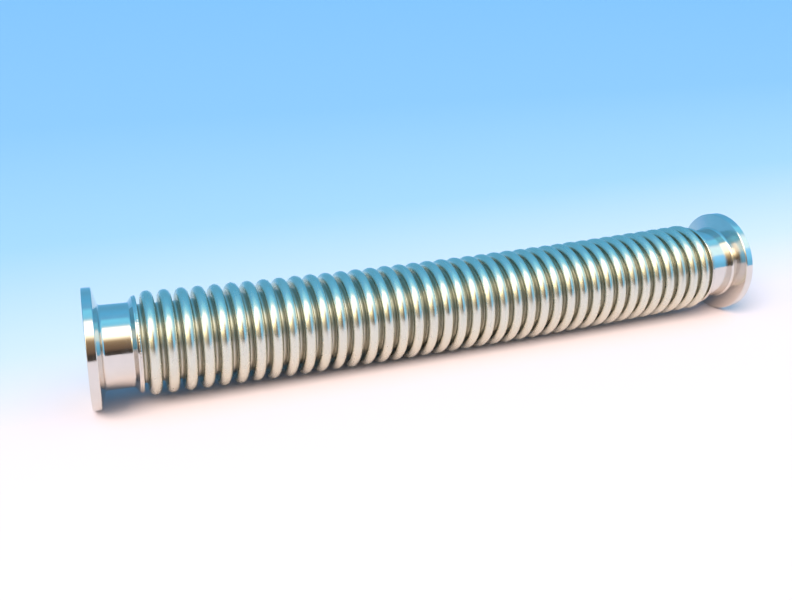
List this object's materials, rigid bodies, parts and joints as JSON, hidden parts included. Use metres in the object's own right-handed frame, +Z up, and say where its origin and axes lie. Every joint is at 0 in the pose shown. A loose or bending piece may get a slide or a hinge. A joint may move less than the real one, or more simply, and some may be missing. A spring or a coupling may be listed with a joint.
{
  "type": "vacuum bellows hose",
  "caption": "Flexible metal vacuum hose: thin-walled annular bellows edge-welded at each end to a clamp flange with a centring recess.",
  "frame": {"origin": "bottom centre of the hose as it lies on its side, midway between the flanges, on the surface it lies on", "axes": "+X along the hose towards the right flange, +Z up; the hose bows slightly towards +Y and sags towards -Z"},
  "size_m": [0.2542, 0.04, 0.0401],
  "materials": {
    "flange_steel": "turned and polished stainless steel, close to a mirror, with fine lathe lines",
    "bellows_steel": "bright formed stainless steel sheet, satin in the grooves",
    "weld_steel": "fused edge weld, rippled, faintly straw tinted"
  },
  "bodies": {
    "root": {"flange_left": "flange_steel", "weld_seam_left": "weld_steel", "bellows": "bellows_steel", "weld_seam_right": "weld_steel", "flange_right": "flange_steel"}
  },
  "joints": []
}
